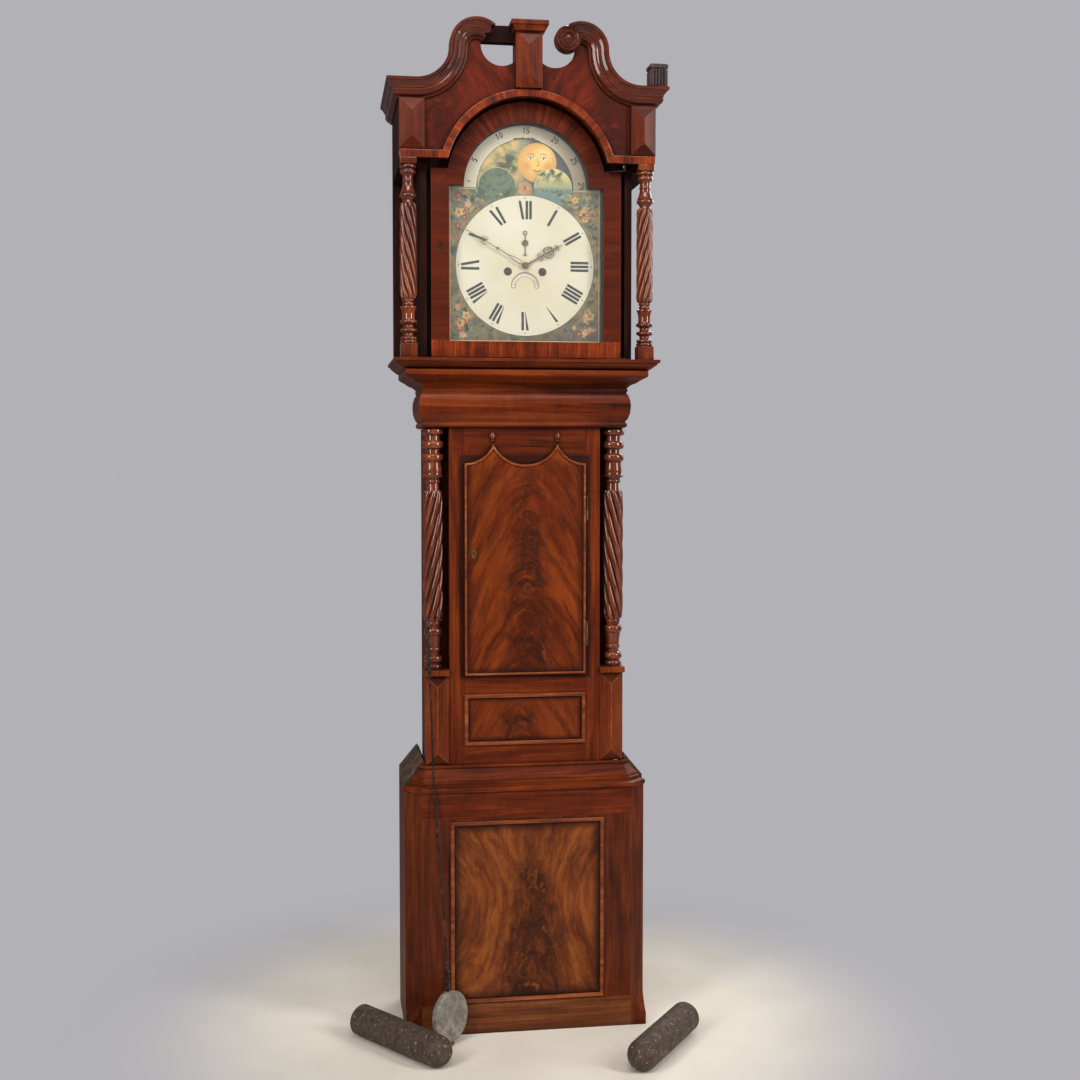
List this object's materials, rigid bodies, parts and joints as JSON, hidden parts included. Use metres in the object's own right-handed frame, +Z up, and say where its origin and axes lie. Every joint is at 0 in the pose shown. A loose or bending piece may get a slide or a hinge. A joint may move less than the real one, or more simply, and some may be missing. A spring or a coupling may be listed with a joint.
{
  "type": "longcase clock",
  "caption": "Longcase clock with a painted arch dial, sliding hood with swan-neck pediment, twisted columns, hinged doors, eight-day movement, and its pendulum and weights set down beside it.",
  "frame": {"origin": "centre of the base's underside, on the floor", "axes": "+Z up, +X to the right seen from the front, front at -Y"},
  "size_m": [0.8035, 0.545, 2.318],
  "materials": {
    "mahogany": "polished, dark",
    "mahogany_light": "polished",
    "bare_board": "bare, dusty",
    "painted_dial": "satin, aged",
    "painted_disc": "satin, aged",
    "brass": "satin",
    "bell_metal": "satin",
    "steel": "dull",
    "glass": "clear",
    "lead": "dull grey",
    "iron": "dull, rusty"
  },
  "bodies": {
    "case": {"base_front": "mahogany", "base_sides": "mahogany", "base_corners": "mahogany_light", "base_bead": "mahogany_light", "base_moulding": "mahogany_light", "shoulder_boards": "bare_board", "backboard": "bare_board", "trunk_sides": "mahogany", "trunk_frame": "mahogany_light", "trunk_column_left": "mahogany_light", "trunk_column_right": "mahogany_light", "column_plinths": "mahogany_light", "trunk_panel_bead": "mahogany_light", "bud_ornaments": "mahogany_light", "throat_moulding": "mahogany_light", "seat_board": "bare_board", "dial_plate": "painted_dial", "movement_plates": "brass", "bell": "bell_metal"},
    "trunk_door": {"trunk_door": "mahogany_light", "trunk_door_bead": "mahogany_light", "trunk_door_hinges": "brass", "trunk_lock": "brass"},
    "lock_bolt": {"trunk_lock_bolt": "steel"},
    "hood": {"hood_base": "mahogany_light", "hood_sides": "mahogany", "hood_mask": "mahogany", "hood_column_left": "mahogany_light", "hood_column_right": "mahogany_light", "tympanum": "mahogany", "arch_band": "mahogany_light", "frieze_blocks": "mahogany_light", "swan_neck_left": "mahogany_light", "swan_neck_right": "mahogany_light", "scroll_roundel": "mahogany_light", "pediment_rail": "mahogany", "centre_plinth": "mahogany_light", "finial_block": "mahogany", "hood_roof": "mahogany"},
    "hood_door": {"hood_door": "mahogany_light", "hood_door_glass": "glass", "hood_door_fittings": "brass"},
    "moon": {"moon_disc": "painted_disc"},
    "date": {"date_disc": "painted_dial"},
    "hour": {"hour_hand": "brass"},
    "minute": {"minute_hand": "brass", "centre_wheel": "brass"},
    "seconds": {"seconds_hand": "brass", "escape_wheel": "brass"},
    "third": {"third_wheel": "brass"},
    "going": {"going_barrel": "brass"},
    "strike": {"strike_barrel": "brass"},
    "pins": {"pin_wheel": "brass"},
    "anchor": {"anchor": "steel"},
    "hammer": {"hammer": "steel"},
    "pendulum": {"pendulum_rod": "steel", "pendulum_bob": "lead"},
    "nut": {"rating_nut": "brass"},
    "weight_left": {"weight_left": "iron"},
    "weight_right": {"weight_right": "iron"}
  },
  "joints": [
    {"name": "hood_slide", "type": "slide", "parent": "case", "child": "hood", "axis": [0, -1, 0], "range_m": [0, 0.26]},
    {"name": "hood_door_hinge", "type": "hinge", "parent": "hood", "child": "hood_door", "pos_m": [0.222, -0.14, 1.78], "axis": [0, 0, 1], "range_deg": [0, 95]},
    {"name": "trunk_door_hinge", "type": "hinge", "parent": "case", "child": "trunk_door", "pos_m": [0.1455, -0.09, 1.08], "axis": [0, 0, 1], "range_deg": [0, 110]},
    {"name": "lock_bolt_slide", "type": "slide", "parent": "trunk_door", "child": "lock_bolt", "axis": [-1, 0, 0], "range_m": [0, 0.008]},
    {"name": "minute_turn", "type": "hinge", "parent": "case", "child": "minute", "pos_m": [0, -0.05, 1.7815], "axis": [0, 1, 0], "continuous": true},
    {"name": "hour_turn", "type": "hinge", "parent": "case", "child": "hour", "pos_m": [0, -0.05, 1.7815], "axis": [0, 1, 0], "continuous": true},
    {"name": "seconds_turn", "type": "hinge", "parent": "case", "child": "seconds", "pos_m": [0, -0.05, 1.8329], "axis": [0, 1, 0], "continuous": true},
    {"name": "third_wheel_turn", "type": "hinge", "parent": "case", "child": "third", "pos_m": [0.01605, -0.05, 1.80953], "axis": [0, 1, 0], "continuous": true},
    {"name": "going_barrel_turn", "type": "hinge", "parent": "case", "child": "going", "pos_m": [0.0403, -0.05, 1.7677], "axis": [0, 1, 0], "continuous": true},
    {"name": "moon_turn", "type": "hinge", "parent": "case", "child": "moon", "pos_m": [0, -0.05, 1.957], "axis": [0, 1, 0], "continuous": true},
    {"name": "date_turn", "type": "hinge", "parent": "case", "child": "date", "pos_m": [0, -0.05, 1.7346], "axis": [0, 1, 0], "continuous": true},
    {"name": "strike_barrel_turn", "type": "hinge", "parent": "case", "child": "strike", "pos_m": [-0.0403, -0.05, 1.7677], "axis": [0, 1, 0], "continuous": true},
    {"name": "pin_wheel_turn", "type": "hinge", "parent": "case", "child": "pins", "pos_m": [-0.03, -0.05, 1.8072], "axis": [0, 1, 0], "continuous": true},
    {"name": "anchor_rock", "type": "hinge", "parent": "case", "child": "anchor", "pos_m": [0, -0.05, 1.8615], "axis": [0, 1, 0], "range_deg": [-2.5, 2.5]},
    {"name": "hammer_strike", "type": "hinge", "parent": "case", "child": "hammer", "pos_m": [-0.036, -0.05, 1.8535], "axis": [0, 1, 0], "range_deg": [-15, 0]},
    {"name": "pendulum_lift", "type": "slide", "parent": "case", "child": "pendulum", "axis": [0, 0, 1], "range_m": [0, 0.3]},
    {"name": "rating_nut_turn", "type": "hinge", "parent": "pendulum", "child": "nut", "pos_m": [-0.184, -0.183, 0.0005], "axis": [-0.0452, 0.0734, 0.9963], "continuous": true},
    {"name": "weight_left_lift", "type": "slide", "parent": "case", "child": "weight_left", "axis": [0, 0, 1], "range_m": [0, 0.3]},
    {"name": "weight_right_lift", "type": "slide", "parent": "case", "child": "weight_right", "axis": [0, 0, 1], "range_m": [0, 0.3]}
  ],
  "couplings": [
    {"joint": "hour_turn", "follows": "minute_turn", "ratio": 0.083333},
    {"joint": "seconds_turn", "follows": "minute_turn", "ratio": 60},
    {"joint": "third_wheel_turn", "follows": "minute_turn", "ratio": -7.5},
    {"joint": "going_barrel_turn", "follows": "minute_turn", "ratio": -0.083333},
    {"joint": "moon_turn", "follows": "minute_turn", "ratio": 0.00070621},
    {"joint": "date_turn", "follows": "minute_turn", "ratio": 0.0013441},
    {"joint": "pin_wheel_turn", "follows": "strike_barrel_turn", "ratio": -9.75}
  ]
}
